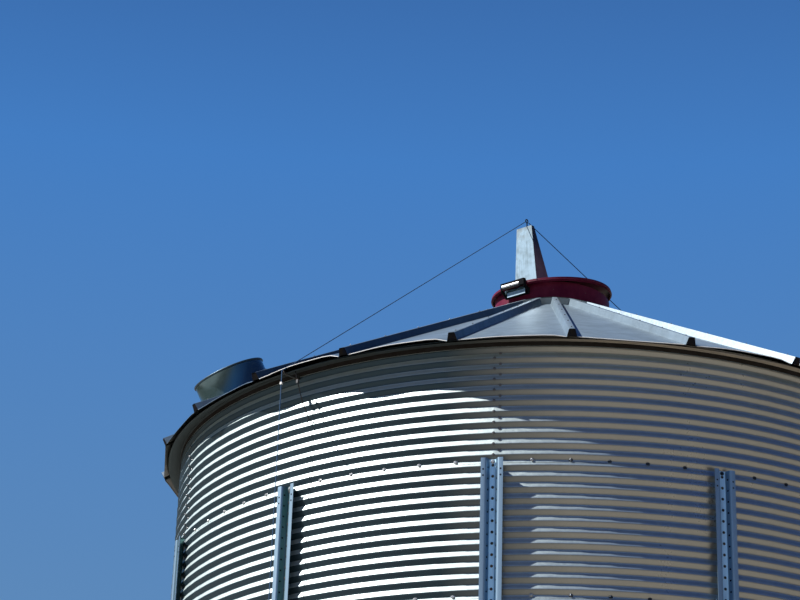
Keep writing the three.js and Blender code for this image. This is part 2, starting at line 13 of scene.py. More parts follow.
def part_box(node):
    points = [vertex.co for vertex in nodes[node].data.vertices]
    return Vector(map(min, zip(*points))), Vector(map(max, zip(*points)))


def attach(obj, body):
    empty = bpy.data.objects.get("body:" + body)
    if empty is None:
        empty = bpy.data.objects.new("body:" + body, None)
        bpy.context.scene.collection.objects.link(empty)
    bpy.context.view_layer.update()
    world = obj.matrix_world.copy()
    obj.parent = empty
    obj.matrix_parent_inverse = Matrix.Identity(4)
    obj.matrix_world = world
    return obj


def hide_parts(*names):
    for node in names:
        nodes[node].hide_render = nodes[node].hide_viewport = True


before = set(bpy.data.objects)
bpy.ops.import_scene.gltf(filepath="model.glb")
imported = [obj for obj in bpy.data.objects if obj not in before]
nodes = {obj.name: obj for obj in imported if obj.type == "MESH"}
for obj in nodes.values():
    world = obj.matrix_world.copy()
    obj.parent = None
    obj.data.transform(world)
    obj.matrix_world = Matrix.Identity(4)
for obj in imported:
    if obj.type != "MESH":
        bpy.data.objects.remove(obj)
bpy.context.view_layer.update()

BODY = "root"
TOUCH = 0.0003

# Wall
PITCH = 0.06773
CREST_R = 2.6
CORRUGATION_DEPTH = 0.0127
ROWS = 12
RING_ROWS = 12 * ROWS
RING_HEIGHT = 12 * PITCH
SEAMS = 7
SHEET = 0.0015
LAP_STEP = 0.0014
LAP_ROWS_UNDER_SEAM = 3
LAP_FADE_ROWS = 9
BAYS = 6
BAY_COLUMNS = 16
WALL_SLACK = math.degrees(0.00015 / CREST_R)
VALLEY_R = CREST_R - CORRUGATION_DEPTH

# Stiffeners
STIFFENERS = 12
STIFFENER_HALF_WIDTH = 0.0655
STIFFENER_HALF_WEB = 0.018
STIFFENER_HALF_MOUTH = 0.037
STIFFENER_DEPTH = 0.043
STIFFENER_SHEET = 0.004
STIFFENER_BACK = CREST_R + TOUCH
CHANNEL_CORNER = 0.006
SIDE_HOLE_DROP = 0.019
LIP_BOLT_DROPS = (0.070, 0.108)
TOP_BOLT_DROP = 0.014

# Roof
RIBS = 24
RIB_STEP = 360 / RIBS
FIRST_RIB = -5.0
ROOF_SLOPE = math.radians(28)
EAVE_R = 2.733
EAVE_Z = 6.412
PEAK_R = 0.416
RIB_HALF_BASE = 0.031
RIB_HALF_TOP = 0.019
RIB_HEIGHT = 0.045
RIB_FOOT = 0.008
RIB_CORNER = 0.005
RIB_SLACK = 0.0005
ROOF_SHEET = 0.002
ROOF_ROWS = 14
CLOSURE_R = 0.47

# Fill opening
LEVER_AZIMUTH = -28.0
HINGE_R = 0.48
HINGE_Z = 7.801
LID_TILT = math.radians(5.6)
LID_SHIFT = (0.012, 0.022)
LID_R = 0.436
LIP_R = 0.428
LID_TOP = 0.018
LID_RIM = 0.022
LID_SHEET = 0.002
LID_LIP = 0.03
EAR_HALF_SPAN = 0.103
KNUCKLE_R = 0.012
KNUCKLE_HALF_LENGTH = 0.075
KNUCKLES = ((-0.094, -0.018), (-0.012, 0.06))
KNUCKLE_SIDES = 20

# Lever on the lid, in the lid's own frame with the hinge line as its origin
LEVER_SIDE = -0.010
LEVER_BACK = 0.175
LEVER_SET_BACK = 0.016
LEVER_FOOT_Z = 0.0186
LEVER_HEIGHT = 0.476
LEVER_FOOT = (0.098, 0.185)
LEVER_HEAD = (0.066, 0.032)
LEVER_SHEET = 0.005

# Round vent
VENT_AZIMUTH = -57.5
VENT_DISTANCE = 2.29
VENT_R = 0.243
VENT_HEIGHT = 0.24

# Light and camera
SUN_AZIMUTH = -71.0
SUN_HEIGHT = 48.5
CAMERA_PLACE = Vector((1.915, -14.512, 1.363))
CAMERA_YAW = math.radians(-11.859)
CAMERA_PITCH = math.radians(23.842)
CAMERA_ROLL = math.radians(1.922)
SENSOR = 36.0
LENS = 98.576
CLIP_END = 200.0


def add_object(name, data):
    made = bpy.data.objects.new(name, data)
    bpy.context.scene.collection.objects.link(made)
    return made


class Skin:
    """Points and faces of one piece."""

    def __init__(self):
        self.points = []
        self.faces = []

    def add(self, points, faces):
        start = len(self.points)
        self.points.extend(tuple(p) for p in points)
        self.faces.extend(tuple(start + i for i in face) for face in faces)

    def loops(self, loops, closed=True, capped=True):
        """Skin between consecutive loops of the same number of points."""
        count = len(loops[0])
        faces = []
        last = count if closed else count - 1
        for row in range(len(loops) - 1):
            low, high = row * count, (row + 1) * count
            for i in range(last):
                j = (i + 1) % count
                faces.append((low + i, low + j, high + j, high + i))
        if capped:
            faces.append(tuple(reversed(range(count))))
            faces.append(tuple((len(loops) - 1) * count + i for i in range(count)))
        self.add([p for loop in loops for p in loop], faces)

    def piece(self, name, material, slot, replaces=(), sharp=35.0):
        mesh = bpy.data.meshes.new(name)
        mesh.from_pydata(self.points, [], self.faces)
        mesh.materials.append(material)
        mesh.shade_smooth()
        mesh.set_sharp_from_angle(angle=math.radians(sharp))
        mesh.update()
        piece = add_object(name, mesh)
        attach(piece, BODY)
        if replaces:
            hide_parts(*replaces)
        return piece


def front(azimuth):
    """Turns what is made at the front to its azimuth."""
    return Matrix.Rotation(math.radians(azimuth), 4, "Z")


def polar(azimuth, r, z):
    a = math.radians(azimuth)
    return Vector((r * math.sin(a), -r * math.cos(a), z))


def outward(azimuth, r, z):
    """Frame on the wall at an azimuth, with its Z axis pointing away from the silo."""
    return front(azimuth) @ Matrix.Translation((0, -r, z)) @ Matrix.Rotation(math.pi / 2, 4, "X")


def add_box(skin, place, size, centre):
    half = [s / 2 for s in size]
    corners = []
    for z in (-1, 1):
        for x, y in ((-1, -1), (1, -1), (1, 1), (-1, 1)):
            corners.append(place @ (Vector(centre) + Vector((x * half[0], y * half[1], z * half[2]))))
    skin.loops([corners[:4], corners[4:]])


def add_lathe(skin, place, outline, segments):
    """Revolves an open outline of (radius, height) about the Z axis of place; a zero radius closes it."""
    loops = []
    for r, z in outline:
        turns = [2 * math.pi * k / segments for k in range(segments)]
        loops.append([place @ Vector((r * math.cos(t), r * math.sin(t), z)) for t in turns])
    skin.loops(loops)


def add_tube(skin, path, radius, sides=8):
    """A round bar along a path, with both ends closed."""
    across = None
    loops = []
    for i, centre in enumerate(path):
        along = (path[min(i + 1, len(path) - 1)] - path[max(i - 1, 0)]).normalized()
        if across is None:
            across = along.orthogonal()
        across = (across - along * across.dot(along)).normalized()
        other = along.cross(across)
        turns = [2 * math.pi * k / sides for k in range(sides)]
        loops.append([centre + radius * (across * math.cos(t) + other * math.sin(t)) for t in turns])
    skin.loops(loops)


BOLT_FLAT = 0.0075
BOLT_HEIGHT = 0.006
BOLT_CHAMFER = 0.8
BOLT_SIDES = 6
WASHER_R = 0.011
WASHER_SHEET = 0.002
WASHER_SIDES = 10


def add_bolt(skin, place, scale):
    """Hex head on a washer, standing on the XY plane of place."""
    washer = [(WASHER_R * scale, 0), (WASHER_R * scale, WASHER_SHEET * scale / 2)]
    washer.append((BOLT_FLAT * scale, WASHER_SHEET * scale))
    add_lathe(skin, place, washer, WASHER_SIDES)
    top = (WASHER_SHEET + BOLT_HEIGHT) * scale
    head = [(BOLT_FLAT, WASHER_SHEET), (BOLT_FLAT, WASHER_SHEET + BOLT_HEIGHT * BOLT_CHAMFER)]
    head = [(r * scale, z * scale) for r, z in head] + [(BOLT_FLAT * BOLT_CHAMFER * scale, top)]
    add_lathe(skin, place, head, BOLT_SIDES)


SIDE_PER_CUT = 2.2


def rounded(corners, radius, steps=3):
    """A polyline with each inner corner replaced by a short arc of points."""
    out = [corners[0]]
    for before, corner, after in zip(corners, corners[1:], corners[2:]):
        corner = Vector(corner)
        towards = Vector(before) - corner
        away = Vector(after) - corner
        cut = min(radius, towards.length / SIDE_PER_CUT, away.length / SIDE_PER_CUT)
        start = corner + towards.normalized() * cut
        end = corner + away.normalized() * cut
        for k in range(steps + 1):
            t = k / steps
            out.append(tuple(start * (1 - t) ** 2 + corner * 2 * t * (1 - t) + end * t ** 2))
    out.append(corners[-1])
    return out


def offset(line, distance):
    """The same polyline moved sideways, to the left of its direction."""
    out = []
    for i, point in enumerate(line):
        here = Vector(point)
        before = Vector(line[max(i - 1, 0)])
        after = Vector(line[min(i + 1, len(line) - 1)])
        along = (after - before).normalized()
        out.append(tuple(here + Vector((-along.y, along.x)) * distance))
    return out


class Finish:
    """A node material with its texture space in metres on the whole silo."""

    def __init__(self, name, metallic, roughness, specular=0.5):
        self.material = bpy.data.materials.new(name)
        self.material.use_nodes = True
        self.tree = self.material.node_tree
        self.shader = self.tree.nodes["Principled BSDF"]
        self.shader.inputs["Metallic"].default_value = metallic
        self.shader.inputs["Roughness"].default_value = roughness
        self.shader.inputs["Specular IOR Level"].default_value = specular
        self.place = self.tree.nodes.new("ShaderNodeTexCoord").outputs["Object"]

    def link(self, source, target):
        self.tree.links.new(source, target)

    def node(self, kind, **settings):
        node = self.tree.nodes.new("ShaderNode" + kind)
        for key, value in settings.items():
            setattr(node, key, value)
        return node

    def parts(self, vector):
        """The X, Y and Z of a vector."""
        node = self.node("SeparateXYZ")
        self.link(vector, node.inputs["Vector"])
        return node.outputs

    def stretched(self, scale):
        mapping = self.node("Mapping")
        mapping.inputs["Scale"].default_value = scale
        self.link(self.place, mapping.inputs["Vector"])
        return mapping.outputs["Vector"]

    def noise(self, scale, detail=4.0, roughness=0.55, stretch=(1, 1, 1)):
        node = self.node("TexNoise")
        node.inputs["Scale"].default_value = scale
        node.inputs["Detail"].default_value = detail
        node.inputs["Roughness"].default_value = roughness
        self.link(self.stretched(stretch), node.inputs["Vector"])
        return node.outputs["Fac"]

    def cells(self, scale):
        """A random grey value for each crystal of a zinc coat."""
        node = self.node("TexVoronoi")
        node.inputs["Scale"].default_value = scale
        self.link(self.stretched((1, 1, 1)), node.inputs["Vector"])
        grey = self.node("RGBToBW")
        self.link(node.outputs["Color"], grey.inputs["Color"])
        return grey.outputs["Val"]

    def ramp(self, factor, low, high, values=(0.0, 1.0)):
        node = self.node("MapRange")
        node.inputs["From Min"].default_value = low
        node.inputs["From Max"].default_value = high
        node.inputs["To Min"].default_value = values[0]
        node.inputs["To Max"].default_value = values[1]
        self.link(factor, node.inputs["Value"])
        return node.outputs["Result"]

    def maths(self, operation, first, second):
        node = self.node("Math", operation=operation)
        for socket, value in zip(node.inputs, (first, second)):
            if isinstance(value, float):
                socket.default_value = value
            else:
                self.link(value, socket)
        return node.outputs["Value"]

    def mix(self, factor, first, second):
        node = self.node("Mix", data_type="RGBA")
        self.link(factor, node.inputs["Factor"])
        for socket, value in ((node.inputs[6], first), (node.inputs[7], second)):
            if isinstance(value, tuple):
                socket.default_value = (*value, 1.0)
            else:
                self.link(value, socket)
        return node.outputs[2]

    def multiply(self, first, second):
        node = self.node("Mix", data_type="RGBA", blend_type="MULTIPLY")
        node.inputs["Factor"].default_value = 1.0
        self.link(first, node.inputs[6])
        self.link(second, node.inputs[7])
        return node.outputs[2]

    def colour(self, value):
        self.link(value, self.shader.inputs["Base Color"])

    def rough(self, value):
        self.link(value, self.shader.inputs["Roughness"])

    def bump(self, height, distance, strength):
        node = self.node("Bump")
        node.inputs["Strength"].default_value = strength
        node.inputs["Distance"].default_value = distance
        self.link(height, node.inputs["Height"])
        self.link(node.outputs["Normal"], self.shader.inputs["Normal"])


CRYSTAL_SCALE = 75.0
CRYSTAL_GLOSS = 0.04
CRYSTAL_SHADE = (0.93, 1.0)
CRYSTAL_HEIGHT = 0.0002
CRYSTAL_RELIEF = 0.08
GRAIN_SCALE = 30.0
PATCH_SCALE = 1.3
RAIN_STRETCH = (9, 9, 0.7)
WORN_ROUGHER = 0.12
# Painted shade: normal Z range of faces that look down, X range of their left-to-right colour, normal X
# range of faces turned right
UNDERSIDE = (-0.03, 0.14)
UNDERSIDE_SHADE_SPAN = (-0.3, 0.45)
RIGHT_FACE_SHADE_SPAN = (0.5, 0.7)
UNTINTED = (1.0, 1.0, 1.0)


def galvanised(name, bright, dull, metallic=0.85, roughness=0.4, under=None, across=None, right_shade=None):
    """Zinc coated sheet: crystals, rain streaks and dull patches.

    under: painted shade and painted reflection on faces that look down, as a colour at the left and one at
    the right.
    across: a painted shade tint from left to right, as its reach in X, both colours and how much smoother
    the right is.
    right_shade: painted shade, a tint on faces turned to the right.
    """
    finish = Finish(name, metallic, roughness)
    crystals = finish.cells(CRYSTAL_SCALE)
    patches = finish.noise(PATCH_SCALE, detail=6.0, roughness=0.6)
    rain = finish.noise(1.0, detail=5.0, roughness=0.6, stretch=RAIN_STRETCH)
    worn = finish.maths("ADD", finish.ramp(patches, 0.35, 0.7), finish.ramp(rain, 0.4, 0.75))
    worn = finish.ramp(worn, 0.0, 2.0)
    base = finish.mix(worn, bright, dull)
    grain = finish.ramp(crystals, 0.0, 1.0, (roughness - CRYSTAL_GLOSS, roughness + CRYSTAL_GLOSS))
    place = finish.parts(finish.place)
    # Painted shade: a tint from left to right
    if across:
        reach, left, right, smoother = across
        side = finish.ramp(place["X"], *reach)
        base = finish.multiply(base, finish.mix(side, left, right))
        grain = finish.maths("SUBTRACT", grain, finish.ramp(side, 0.0, 1.0, (0.0, smoother)))
    # Painted shade and reflection: faces that look down take the under colours in place of their own
    if under:
        normal = finish.parts(finish.node("NewGeometry").outputs["Normal"])
        painted_underside = finish.mix(finish.ramp(place["X"], *UNDERSIDE_SHADE_SPAN), *under)
        # Painted shade: faces turned to the right are darkened
        if right_shade:
            right_facing = finish.ramp(normal["X"], *RIGHT_FACE_SHADE_SPAN)
            base = finish.multiply(base, finish.mix(right_facing, UNTINTED, right_shade))
        base = finish.mix(finish.ramp(normal["Z"], *UNDERSIDE), painted_underside, base)
    shade = finish.ramp(crystals, 0.0, 1.0, CRYSTAL_SHADE)
    finish.colour(finish.multiply(base, shade))
    finish.rough(finish.maths("ADD", grain, finish.ramp(worn, 0.0, 1.0, (0.0, WORN_ROUGHER))))
    relief = finish.maths("ADD", crystals, finish.noise(GRAIN_SCALE))
    finish.bump(relief, CRYSTAL_HEIGHT, CRYSTAL_RELIEF)
    return finish.material


def painted(name, colour, faded, metal, roughness=0.5):
    """Old paint: faded in patches, with small chips down to the metal."""
    finish = Finish(name, 0.0, roughness, 0.15)
    fade = finish.noise(7.0, detail=6.0, roughness=0.65)
    base = finish.mix(finish.ramp(fade, 0.4, 0.75), colour, faded)
    chips = finish.ramp(finish.noise(60.0, detail=6.0, roughness=0.7), 0.66, 0.7)
    finish.colour(finish.mix(chips, base, metal))
    finish.rough(finish.ramp(fade, 0.3, 0.8, (roughness - 0.08, roughness + 0.15)))
    finish.bump(finish.noise(90.0, detail=3.0), 0.0004, 0.3)
    return finish.material


SIDE_FROM = (2.606, 2.611)
LIP_FROM = (2.63, 2.638)
# Painted shade: the channels at the left take a dark teal in their webs and sides
LEFT_CHANNEL_SHADE_SPAN = (-1.1, -0.5)
LEFT_CHANNEL_SHADE = (0.07, 0.15, 0.15)
WORN_ZINC = (0.2, 0.27, 0.33)


def stiffener_zinc(lips, sides, web):
    """Zinc of the channels, coloured by distance from the axis: a bright blue painted sky reflection on the
    webs, painted shade on the flared sides and a duller blue on the lips; the channels at the left painted
    dark teal as shade; with rain-streaked wear.
    """
    finish = Finish("stiffener_zinc", 0.85, 0.42)
    flat = finish.node("VectorMath", operation="MULTIPLY")
    flat.inputs[1].default_value = (1, 1, 0)
    finish.link(finish.place, flat.inputs[0])
    length = finish.node("VectorMath", operation="LENGTH")
    finish.link(flat.outputs["Vector"], length.inputs[0])
    r = length.outputs["Value"]
    channel = finish.mix(finish.ramp(r, *SIDE_FROM), web, sides)
    left = finish.ramp(finish.parts(finish.place)["X"], *LEFT_CHANNEL_SHADE_SPAN)
    base = finish.mix(finish.ramp(r, *LIP_FROM), finish.mix(left, LEFT_CHANNEL_SHADE, channel), lips)
    worn = finish.ramp(finish.noise(3.0, detail=6.0, stretch=RAIN_STRETCH), 0.45, 0.75, (0.0, 0.5))
    finish.colour(finish.mix(worn, base, WORN_ZINC))
    finish.bump(finish.noise(GRAIN_SCALE), CRYSTAL_HEIGHT, 0.4)
    return finish.material


FLANGE_FADE = (7.88, 8.2)
FLANGE_RUST = (0.14, 0.06, 0.06)


def flange_steel(top, foot):
    """Dark sheet: near-black navy painted shade towards the lever's head, lighter pinkish brown with rust
    towards the lid.
    """
    finish = Finish("flange_steel", 0.2, 0.6)
    rust = finish.mix(finish.noise(14.0, detail=6.0), foot, FLANGE_RUST)
    finish.colour(finish.mix(finish.ramp(finish.parts(finish.place)["Z"], *FLANGE_FADE), rust, top))
    return finish.material


LEVER_STAIN = (8.2, 8.34)


def lever_zinc(bright, dull, stain):
    """Mottled zinc with rain streaks, and a brown stain under the lever's head."""
    finish = Finish("lever_zinc", 0.3, 0.4)
    rain = finish.ramp(finish.noise(1.0, detail=6.0, stretch=(70, 70, 6)), 0.42, 0.62)
    spots = finish.ramp(finish.noise(22.0, detail=5.0), 0.45, 0.65)
    worn = finish.ramp(finish.maths("ADD", rain, spots), 0.0, 2.0)
    base = finish.mix(worn, bright, dull)
    high = finish.ramp(finish.parts(finish.place)["Z"], *LEVER_STAIN)
    patch = finish.ramp(finish.noise(14.0, detail=6.0), 0.4, 0.6)
    finish.colour(finish.mix(finish.maths("MULTIPLY", high, patch), base, stain))
    return finish.material


EAVE_FADE = (-0.25, 0.9)


def eave_zinc(shaded, painted_lit):
    """Angle under the roof's edge: painted shade, dark, at the left and painted light, pale brown, at the
    right, in blotches.
    """
    finish = Finish("eave_zinc", 0.2, 0.7, 0.1)
    blotch = finish.ramp(finish.noise(2.0, detail=6.0), 0.3, 0.7, (0.6, 1.0))
    reach = finish.ramp(finish.parts(finish.place)["X"], *EAVE_FADE)
    finish.colour(finish.mix(finish.maths("MULTIPLY", reach, blotch), shaded, painted_lit))
    return finish.material


DULL_DARK_SPOTS = (0.014, 0.012, 0.01)


def dull_dark(name, colour):
    """Dark finish that gives back almost no light, used for painted shade."""
    finish = Finish(name, 0.0, 0.9, 0.05)
    spots = finish.ramp(finish.noise(30.0), 0.4, 0.7)
    finish.colour(finish.mix(spots, colour, DULL_DARK_SPOTS))
    return finish.material


def dark_steel(name):
    finish = Finish(name, 0.6, 0.5)
    rust = finish.ramp(finish.noise(24.0, detail=8.0, roughness=0.7), 0.48, 0.68)
    finish.colour(finish.mix(rust, (0.035, 0.04, 0.042), (0.1, 0.05, 0.03)))
    finish.rough(finish.ramp(rust, 0.0, 1.0, (0.42, 0.8)))
    finish.bump(finish.noise(120.0), 0.0004, 0.5)
    return finish.material


def wire_rope(name):
    """Strands laid round the rope as fine slanting ridges; its dark blue is a painted sky reflection in
    place of grey steel.
    """
    finish = Finish(name, 0.0, 0.7, 0.1)
    wave = finish.node("TexWave", bands_direction="DIAGONAL")
    wave.inputs["Scale"].default_value = 90.0
    wave.inputs["Distortion"].default_value = 0.6
    finish.link(finish.stretched((1, 1, 1)), wave.inputs["Vector"])
    # Painted sky reflection: dark blues in place of the steel's grey
    finish.colour(finish.mix(wave.outputs["Fac"], (0.018, 0.055, 0.13), (0.05, 0.1, 0.19)))
    finish.bump(wave.outputs["Fac"], 0.001, 0.6)
    return finish.material


# Painted shade and reflection on the wall's down-facing slopes: dark teal at the left, a pale taupe ground
# reflection at the right
WALL_UNDERSIDE_SHADE = ((0.022, 0.045, 0.065), (0.25, 0.255, 0.24))
# Painted light and shade across the wall: the sunlit left dimmed a little, the shaded right tinted blue and
# made smoother
WALL_SIDE_SHADE = ((-0.2, 1.1), (0.84, 0.88, 0.9), (0.62, 0.74, 0.92), 0.15)
WALL = galvanised("wall_zinc", (0.56, 0.63, 0.62), (0.44, 0.5, 0.49), 0.7, 0.42, WALL_UNDERSIDE_SHADE, WALL_SIDE_SHADE)
# Lips, flared sides darkened as painted shade, and webs in a bright painted sky reflection
STIFFENER = stiffener_zinc((0.26, 0.38, 0.49), (0.13, 0.26, 0.42), (0.58, 0.85, 1.0))
# Painted shade on the roof: darker towards the left, near black on faces that look down, darker on faces
# turned to the right
ROOF_LEFT_SHADE = ((-0.9, -0.15), (0.45, 0.52, 0.62), UNTINTED, 0.0)
ROOF_UNDERSIDE_SHADE = ((0.012, 0.013, 0.012), (0.04, 0.032, 0.026))
ROOF_RIGHT_FACE_SHADE = (0.4, 0.5, 0.55)
ROOF = galvanised("roof_zinc", (0.2, 0.27, 0.33), (0.085, 0.12, 0.15), 0.35, 0.32, ROOF_UNDERSIDE_SHADE, ROOF_LEFT_SHADE, ROOF_RIGHT_FACE_SHADE)
CLOSURE = galvanised("closure_zinc", (0.22, 0.27, 0.3), (0.12, 0.15, 0.17), 0.35, 0.35)
# Painted shade: dark teal zinc for the vent's drum and the hinge apron, darker still for the vent's cap
VENT = galvanised("zinc_in_painted_shade", (0.12, 0.19, 0.22), (0.07, 0.12, 0.14), roughness=0.18)
VENT_CAP_SHADE = galvanised("vent_cap_painted_shade", (0.06, 0.09, 0.11), (0.035, 0.055, 0.07), roughness=0.4)
LEVER = lever_zinc((0.26, 0.38, 0.48), (0.15, 0.22, 0.27), (0.13, 0.13, 0.11))
# Painted shade: the flanges near black at the head, lighter at the foot
FLANGE = flange_steel((0.008, 0.012, 0.034), (0.36, 0.24, 0.26))
# Painted shade at the left and painted light at the right of the eave angle
EAVE = eave_zinc((0.06, 0.077, 0.085), (0.46, 0.42, 0.36))
# Painted shade: near black for the lower half of the eave
EAVE_SKIRT_SHADE = dull_dark("eave_skirt_shade", (0.02, 0.018, 0.018))
BOLT_SHADE = ((0.1, 0.5), UNTINTED, (0.03, 0.045, 0.07), 0.0)
SEAM_BOLTS = galvanised("seam_bolt_zinc", (0.5, 0.52, 0.54), (0.35, 0.36, 0.37), 0.7, 0.3, across=BOLT_SHADE)
# Painted shade with a sky-blue tint on the steel eye bolt
EYE_SHADE = dull_dark("eye_painted_shade", (0.02, 0.05, 0.11))
BOLTS = galvanised("bolt_zinc", (0.12, 0.125, 0.14), (0.08, 0.08, 0.08), metallic=0.6, roughness=0.35)
# Near-white zinc; along the front panels' edges it is a painted highlight
WHITE = galvanised("bright_zinc", (0.85, 0.87, 0.88), (0.7, 0.7, 0.7), metallic=0.3, roughness=0.35)
RED = painted("red_paint", (0.07, 0.001, 0.016), (0.115, 0.012, 0.035), (0.1, 0.07, 0.07))
DARK = dark_steel("dark_steel")
# Painted shade: near black for the hinge leaf and ears, and the eave hook
FITTING_SHADE = dull_dark("fitting_painted_shade", (0.005, 0.006, 0.009))
# Painted shade: near black for the insides of holes and open rib ends
HOLLOW_SHADE = dull_dark("hollow_painted_shade", (0.006, 0.007, 0.012))
ROPE = wire_rope("wire_rope")


FLAT_FLANKS = 0.06


def wall_radius(z):
    """Outer face of the corrugation: valleys at whole pitches, where the ring seams are bolted."""
    phase = 2 * math.pi * z / PITCH
    wave = (math.cos(phase) + FLAT_FLANKS * math.cos(3 * phase)) / (1 + FLAT_FLANKS)
    return CREST_R - CORRUGATION_DEPTH / 2 * (1 + wave)


def wall_outline(top):
    """Heights and radii of the sheet's outer face, stepped out where an upper sheet laps the lower."""
    step = PITCH / ROWS
    count = int(top / step)
    line = []
    for i in range(count + 1):
        z = i * step
        above = (i + LAP_ROWS_UNDER_SEAM) % RING_ROWS
        first = i + LAP_ROWS_UNDER_SEAM < RING_ROWS
        lap = 0.0 if first else LAP_STEP * max(0.0, 1 - above / LAP_FADE_ROWS)
        if above == 0 and not first:
            line.append((wall_radius(z), z))
        line.append((wall_radius(z) + lap, z))
    line.append((wall_radius(top), top))
    return line


def add_wall():
    """Six bays of corrugated sheet, each closed at its foot, top and both sides."""
    outer = wall_outline(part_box("wall_bay_1")[1].z)
    inner = [(r - SHEET, z) for r, z in outer]
    loop = outer + inner[::-1]
    count = len(outer)
    span = 360 / BAYS
    for bay in range(BAYS):
        skin = Skin()
        start, end = bay * span + WALL_SLACK, (bay + 1) * span - WALL_SLACK
        turns = [start + (end - start) * k / BAY_COLUMNS for k in range(BAY_COLUMNS + 1)]
        loops = [[polar(turn, r, z) for r, z in loop] for turn in turns]
        skin.loops(loops, capped=False)
        last = BAY_COLUMNS * 2 * count
        mirror = 2 * count - 1
        for i in range(count - 1):
            skin.faces.append((i, mirror - i, mirror - i - 1, i + 1))
            skin.faces.append((last + i, last + i + 1, last + mirror - i - 1, last + mirror - i))
        skin.piece(f"wall_sheets_{bay + 1}", WALL, "wall_sheet", [f"wall_bay_{bay + 1}"])


SEAM_COUNT = 72
SEAM_BOLT_SCALE = 1.15
LAP_ROWS = 10
LAP_SPREAD = 0.75
LAP_BOLT_SCALE = 0.85


def add_wall_bolts():
    """Bolts in the valleys of the ring seams, and in two columns along the laps of the top ring."""
    seams = Skin()
    step = 360 / SEAM_COUNT
    for seam in range(1, SEAMS + 1):
        for k in range(SEAM_COUNT):
            if (k * step) % (360 / STIFFENERS) == 0:
                continue
            place = outward(k * step, VALLEY_R + LAP_STEP / 2, seam * RING_HEIGHT)
            add_bolt(seams, place, SEAM_BOLT_SCALE)
    seams.piece("ring_seam_bolts", SEAM_BOLTS, "wall_sheet")
    laps = Skin()
    for lap in range(BAYS):
        azimuth = lap * 360 / BAYS
        for k in range(1, LAP_ROWS + 1):
            z = SEAMS * RING_HEIGHT + k * PITCH
            add_bolt(laps, outward(azimuth + LAP_SPREAD, VALLEY_R, z), LAP_BOLT_SCALE)
            add_bolt(laps, outward(azimuth, CREST_R, z - PITCH / 2), LAP_BOLT_SCALE)
    laps.piece("lap_bolts", BOLTS, "wall_sheet")


def stiffener_section():
    """Closed outline of the flared channel at the front, as (x, outward distance from the axis)."""
    web, mouth, lip = STIFFENER_HALF_WEB, STIFFENER_HALF_MOUTH, STIFFENER_HALF_WIDTH
    back = STIFFENER_BACK + STIFFENER_SHEET / 2
    face = STIFFENER_BACK + STIFFENER_DEPTH - STIFFENER_SHEET / 2
    line = [(-lip, face), (-mouth, face), (-web, back), (web, back), (mouth, face), (lip, face)]
    middle = rounded(line, CHANNEL_CORNER)
    outer = offset(middle, STIFFENER_SHEET / 2)
    inner = offset(middle, -STIFFENER_SHEET / 2)
    return outer + inner[::-1]


def side_hole(azimuth, side, z):
    """Frame on the inner face of a channel's flared side, halfway out, with Z into the channel."""
    flare = math.atan2(STIFFENER_HALF_MOUTH - STIFFENER_HALF_WEB, STIFFENER_DEPTH)
    x = side * (STIFFENER_HALF_MOUTH + STIFFENER_HALF_WEB) / 2
    face = Matrix.Translation((x, -(STIFFENER_BACK + STIFFENER_DEPTH / 2), z))
    face @= Matrix.Rotation(side * flare, 4, "Z")
    return front(azimuth) @ face @ Matrix.Rotation(-side * math.pi / 2, 4, "Y")


HOLE_SIDES = 10
LIP_HOLE = [(0.0055, -0.001), (0.0055, 0.0004)]
SIDE_HOLE = [(0.006, 0.001), (0.006, STIFFENER_SHEET / 2 + 0.0006)]
WEB_BOLT_SCALE = 0.8


def add_stiffeners():
    """Channels, a bolt on each crest of the wall in their webs, and near-black discs as painted shade for
    the holes in sides and lips.
    """
    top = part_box("stiffener_1")[1].z
    section = stiffener_section()
    web = STIFFENER_BACK + STIFFENER_SHEET
    lips = STIFFENER_BACK + STIFFENER_DEPTH
    heads = Skin()
    holes = Skin()
    top_bolts = Skin()
    for i in range(STIFFENERS):
        azimuth = i * 360 / STIFFENERS
        turn = front(azimuth)
        low = [turn @ Vector((x, -r, 0.0)) for x, r in section]
        high = [turn @ Vector((x, -r, top)) for x, r in section]
        skin = Skin()
        skin.loops([low, high])
        skin.piece(f"channel_{i + 1}", STIFFENER, "stiffener_steel", [f"stiffener_{i + 1}"])
        add_bolt(top_bolts, outward(azimuth, web, top - TOP_BOLT_DROP), SEAM_BOLT_SCALE)
        crest = PITCH / 2
        while crest < top - TOP_BOLT_DROP:
            add_bolt(heads, outward(azimuth, web, crest), WEB_BOLT_SCALE)
            for side in (-1, 1):
                if crest > PITCH:
                    place = side_hole(azimuth, side, crest - SIDE_HOLE_DROP)
                    add_lathe(holes, place, SIDE_HOLE, HOLE_SIDES)
            crest += PITCH
        lip = (STIFFENER_HALF_WIDTH + STIFFENER_HALF_MOUTH) / 2
        for side in (-lip, lip):
            for drop in LIP_BOLT_DROPS:
                place = turn @ Matrix.Translation((side, -lips, top - drop))
                add_lathe(holes, place @ Matrix.Rotation(math.pi / 2, 4, "X"), LIP_HOLE, HOLE_SIDES)
    heads.piece("stiffener_bolts", DARK, "dark_fittings")
    top_bolts.piece("top_bolts", SEAM_BOLTS, "wall_sheet")
    # Painted shade: near-black discs stand in for the dark inside of the holes
    holes.piece("stiffener_holes", HOLLOW_SHADE, "dark_fittings")


def rib_line(r):
    return EAVE_Z + (EAVE_R - r) * math.tan(ROOF_SLOPE)


def roof_point(azimuth, r, side, height):
    """On the rib line of an azimuth, moved along the chord to the next rib and raised off the slope."""
    point = polar(azimuth, r, rib_line(r))
    towards = math.copysign(RIB_STEP, side)
    chord = (polar(azimuth + towards, r, rib_line(r)) - point).normalized()
    a = math.radians(azimuth)
    tilt = math.sin(ROOF_SLOPE)
    normal = Vector((tilt * math.sin(a), -tilt * math.cos(a), math.cos(ROOF_SLOPE)))
    return point + chord * abs(side) + normal * height


